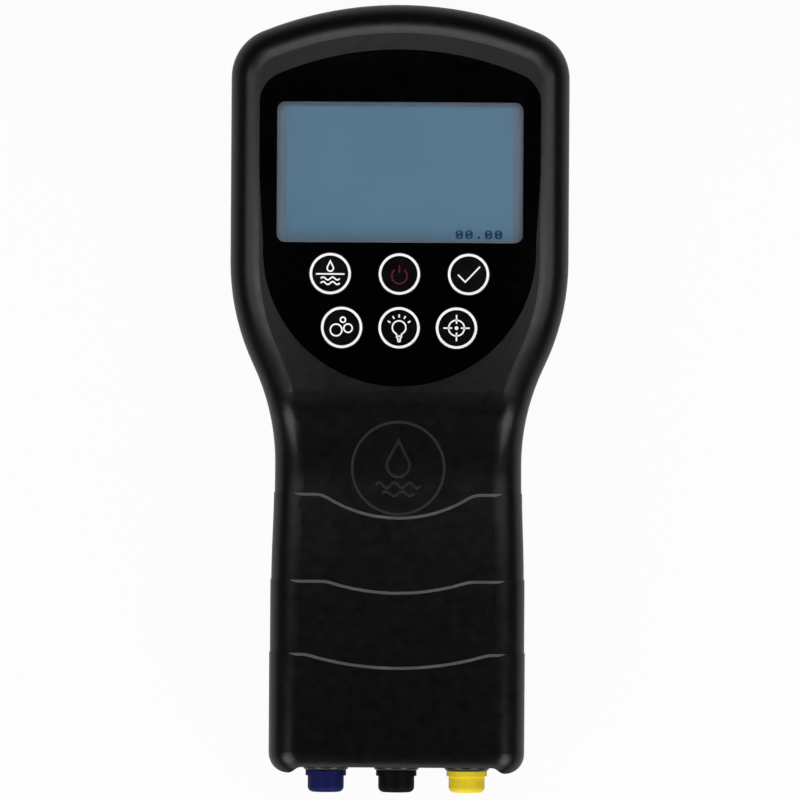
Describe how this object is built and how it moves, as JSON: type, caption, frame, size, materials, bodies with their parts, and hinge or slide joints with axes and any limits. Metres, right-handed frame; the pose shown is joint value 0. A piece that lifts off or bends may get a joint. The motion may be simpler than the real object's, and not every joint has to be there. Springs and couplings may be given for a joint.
{
  "type": "dissolved oxygen meter",
  "caption": "Handheld water quality meter: a wide head with a display and round keys, a waisted stepped grip, and capped sensor sockets at its end.",
  "frame": {"origin": "on the flat back, midway along the casing and on its mirror plane", "axes": "+Z out of the display, +Y to the crown of the head, +X to the right of someone reading the display"},
  "size_m": [0.0926, 0.2165, 0.0371],
  "materials": {
    "casing_black": "satin moulded black",
    "gasket_black": "matt",
    "panel_black": "gloss",
    "window_clear": "clear gloss",
    "display_glass": "gloss",
    "display_film": "satin blue-grey",
    "backlight_white": "matt",
    "bezel_steel": "satin",
    "board_green": "solder resist",
    "chip_black": "matt",
    "header_black": "matt",
    "screw_steel": "bright zinc",
    "brass": "machined",
    "key_black": "satin",
    "plunger_black": "matt",
    "switch_grey": "matt",
    "cell_jacket": "plain jacket",
    "contact_nickel": "nickel plated",
    "lead_black": "matt",
    "socket_black": "satin",
    "insulator_black": "matt",
    "pin_gold": "plated",
    "nut_steel": "satin",
    "cap_blue": "satin dark blue",
    "cap_black": "satin",
    "cap_yellow": "satin"
  },
  "bodies": {
    "housing": {"front_shell": "casing_black", "back_shell": "casing_black", "casing_gasket": "gasket_black", "case_screws": "screw_steel", "case_inserts": "brass", "graphic_panel": "panel_black", "display_window": "window_clear", "lcd_bezel": "bezel_steel", "lcd_glass": "display_glass", "lcd_polarizer": "display_film", "lcd_backlight": "backlight_white", "display_board": "board_green", "tact_switches": "switch_grey", "main_board": "board_green", "board_header": "header_black", "board_chips": "chip_black", "board_spacers": "brass", "board_screws": "screw_steel", "battery_cells": "cell_jacket", "cell_contacts": "contact_nickel", "battery_leads": "lead_black", "socket_left": "socket_black", "socket_centre": "socket_black", "socket_right": "socket_black", "socket_insulators": "insulator_black", "socket_pins": "pin_gold", "socket_washers": "gasket_black", "socket_nuts": "nut_steel", "socket_leads": "lead_black"},
    "key_sensor": {"key_sensor": "key_black", "plunger_sensor": "plunger_black"},
    "key_power": {"key_power": "key_black", "plunger_power": "plunger_black"},
    "key_confirm": {"key_confirm": "key_black", "plunger_confirm": "plunger_black"},
    "key_oxygen": {"key_oxygen": "key_black", "plunger_oxygen": "plunger_black"},
    "key_backlight": {"key_backlight": "key_black", "plunger_backlight": "plunger_black"},
    "key_calibrate": {"key_calibrate": "key_black", "plunger_calibrate": "plunger_black"},
    "cap_blue": {"cap_blue": "cap_blue"},
    "cap_black": {"cap_black": "cap_black"},
    "cap_yellow": {"cap_yellow": "cap_yellow"},
    "battery_door": {"battery_door": "casing_black"}
  },
  "joints": [
    {"name": "sensor_press", "type": "slide", "parent": "housing", "child": "key_sensor", "axis": [0, 0, -1], "range_m": [0, 0.0004], "stiffness_N_per_m": 1500, "springref_m": -0.0003},
    {"name": "power_press", "type": "slide", "parent": "housing", "child": "key_power", "axis": [0, 0, -1], "range_m": [0, 0.0004], "stiffness_N_per_m": 1500, "springref_m": -0.0003},
    {"name": "confirm_press", "type": "slide", "parent": "housing", "child": "key_confirm", "axis": [0, 0, -1], "range_m": [0, 0.0004], "stiffness_N_per_m": 1500, "springref_m": -0.0003},
    {"name": "oxygen_press", "type": "slide", "parent": "housing", "child": "key_oxygen", "axis": [0, 0, -1], "range_m": [0, 0.0004], "stiffness_N_per_m": 1500, "springref_m": -0.0003},
    {"name": "backlight_press", "type": "slide", "parent": "housing", "child": "key_backlight", "axis": [0, 0, -1], "range_m": [0, 0.0004], "stiffness_N_per_m": 1500, "springref_m": -0.0003},
    {"name": "calibrate_press", "type": "slide", "parent": "housing", "child": "key_calibrate", "axis": [0, 0, -1], "range_m": [0, 0.0004], "stiffness_N_per_m": 1500, "springref_m": -0.0003},
    {"name": "blue_cap_pull", "type": "slide", "parent": "housing", "child": "cap_blue", "axis": [0, -1, 0], "range_m": [0, 0.022]},
    {"name": "black_cap_pull", "type": "slide", "parent": "housing", "child": "cap_black", "axis": [0, -1, 0], "range_m": [0, 0.022]},
    {"name": "yellow_cap_pull", "type": "slide", "parent": "housing", "child": "cap_yellow", "axis": [0, -1, 0], "range_m": [0, 0.022]},
    {"name": "door_slide", "type": "slide", "parent": "housing", "child": "battery_door", "axis": [0, -1, 0], "range_m": [0, 0.06]}
  ]
}
